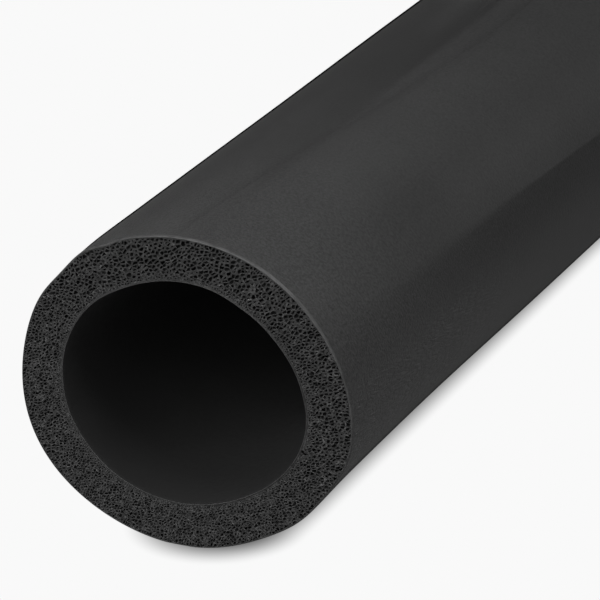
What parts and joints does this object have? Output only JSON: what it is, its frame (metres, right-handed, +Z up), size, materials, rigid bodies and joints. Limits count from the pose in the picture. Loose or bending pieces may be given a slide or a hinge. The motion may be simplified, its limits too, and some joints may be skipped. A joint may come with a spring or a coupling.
{
  "type": "pipe insulation tube",
  "caption": "Straight black rubber-foam tube that lags a pipe: a thick soft wall around an open bore, cut square at both ends and slightly oval where it lies.",
  "frame": {"origin": "on the axis of the bore, at the middle of the tube's length", "axes": "+Y along the bore, +Z up as the tube lies on a floor, +X across its wider half-width"},
  "size_m": [0.0688, 1, 0.063],
  "materials": {
    "rubber_foam": "matt black closed-cell rubber foam with a smooth extruded skin; the cut ends show open cells"
  },
  "bodies": {
    "root": {"foam_tube": "rubber_foam"}
  },
  "joints": []
}
